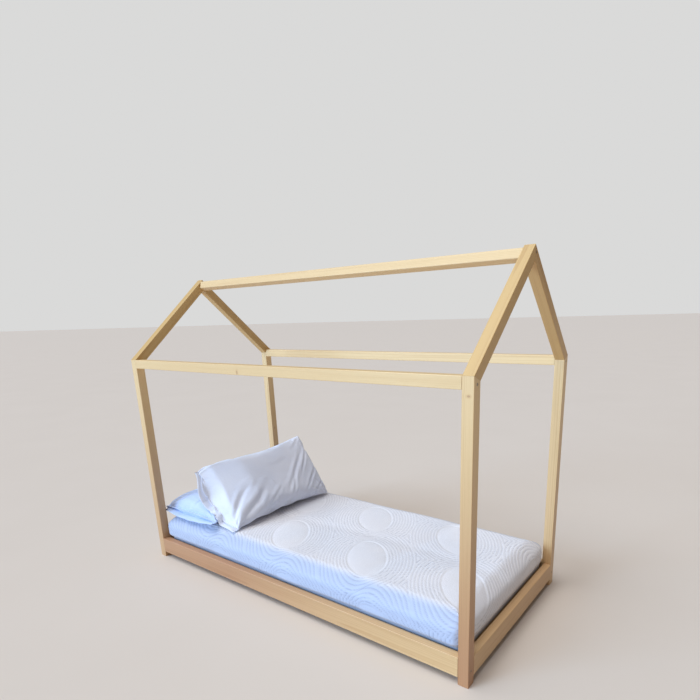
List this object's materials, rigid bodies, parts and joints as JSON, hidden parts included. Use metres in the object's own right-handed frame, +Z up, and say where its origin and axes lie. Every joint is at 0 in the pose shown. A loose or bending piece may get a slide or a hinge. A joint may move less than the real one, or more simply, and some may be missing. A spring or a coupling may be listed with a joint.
{
  "type": "house frame toddler bed",
  "caption": "Low pine toddler bed with a house-shaped open frame, slatted base, quilted mattress and loose pillows.",
  "frame": {"origin": "on the floor, under the middle of the bed", "axes": "+X along the bed from the head end to the foot end, +Y across it from the front long side to the rear one, +Z up"},
  "size_m": [1.694, 0.784, 1.3078],
  "materials": {
    "clear_pine": "satin",
    "raw_pine": "matte",
    "beech_dowel": "matte",
    "screw_steel": "satin",
    "foam": "matte",
    "quilted_cover": "matte",
    "pillow_cotton": "matte"
  },
  "bodies": {
    "frame": {"post_foot_front": "clear_pine", "post_foot_rear": "clear_pine", "post_head_front": "clear_pine", "post_head_rear": "clear_pine", "rafter_foot_front": "clear_pine", "rafter_foot_rear": "clear_pine", "rafter_head_front": "clear_pine", "rafter_head_rear": "clear_pine", "ridge_beam": "clear_pine", "eave_rail_front": "clear_pine", "eave_rail_rear": "clear_pine", "side_rail_front": "clear_pine", "side_rail_rear": "clear_pine", "end_rail_foot": "clear_pine", "end_rail_head": "clear_pine", "slat_ledger_front": "raw_pine", "slat_ledger_rear": "raw_pine", "slat_01": "raw_pine", "slat_02": "raw_pine", "slat_03": "raw_pine", "slat_04": "raw_pine", "slat_05": "raw_pine", "slat_06": "raw_pine", "slat_07": "raw_pine", "slat_08": "raw_pine", "slat_09": "raw_pine", "slat_10": "raw_pine", "slat_11": "raw_pine", "side_rail_dowel_foot_front": "beech_dowel", "end_rail_dowel_foot_front_lower": "beech_dowel", "end_rail_dowel_foot_front_upper": "beech_dowel", "eave_mitre_dowel_foot_front": "beech_dowel", "side_rail_dowel_foot_rear": "beech_dowel", "end_rail_dowel_foot_rear_lower": "beech_dowel", "end_rail_dowel_foot_rear_upper": "beech_dowel", "eave_mitre_dowel_foot_rear": "beech_dowel", "side_rail_dowel_head_front": "beech_dowel", "end_rail_dowel_head_front_lower": "beech_dowel", "end_rail_dowel_head_front_upper": "beech_dowel", "eave_mitre_dowel_head_front": "beech_dowel", "side_rail_dowel_head_rear": "beech_dowel", "end_rail_dowel_head_rear_lower": "beech_dowel", "end_rail_dowel_head_rear_upper": "beech_dowel", "eave_mitre_dowel_head_rear": "beech_dowel", "apex_dowel_foot": "beech_dowel", "apex_dowel_head": "beech_dowel", "eave_screw_foot_front": "screw_steel", "side_rail_screw_foot_front": "screw_steel", "eave_screw_foot_rear": "screw_steel", "side_rail_screw_foot_rear": "screw_steel", "eave_screw_head_front": "screw_steel", "side_rail_screw_head_front": "screw_steel", "eave_screw_head_rear": "screw_steel", "side_rail_screw_head_rear": "screw_steel", "ridge_screw_foot": "screw_steel", "ridge_screw_head": "screw_steel"},
    "mattress": {"mattress_core": "foam", "mattress_cover": "quilted_cover"},
    "back_pillow_body": {"back_pillow": "pillow_cotton"},
    "front_pillow_body": {"front_pillow": "pillow_cotton"}
  },
  "joints": [
    {"name": "mattress_lift", "type": "slide", "parent": "frame", "child": "mattress", "axis": [0, 0, 1], "range_m": [0, 0.3]},
    {"name": "back_pillow_lift", "type": "slide", "parent": "mattress", "child": "back_pillow_body", "axis": [0, 0, 1], "range_m": [0, 0.15]},
    {"name": "front_pillow_lift", "type": "slide", "parent": "back_pillow_body", "child": "front_pillow_body", "axis": [0, 0, 1], "range_m": [0, 0.2]}
  ]
}
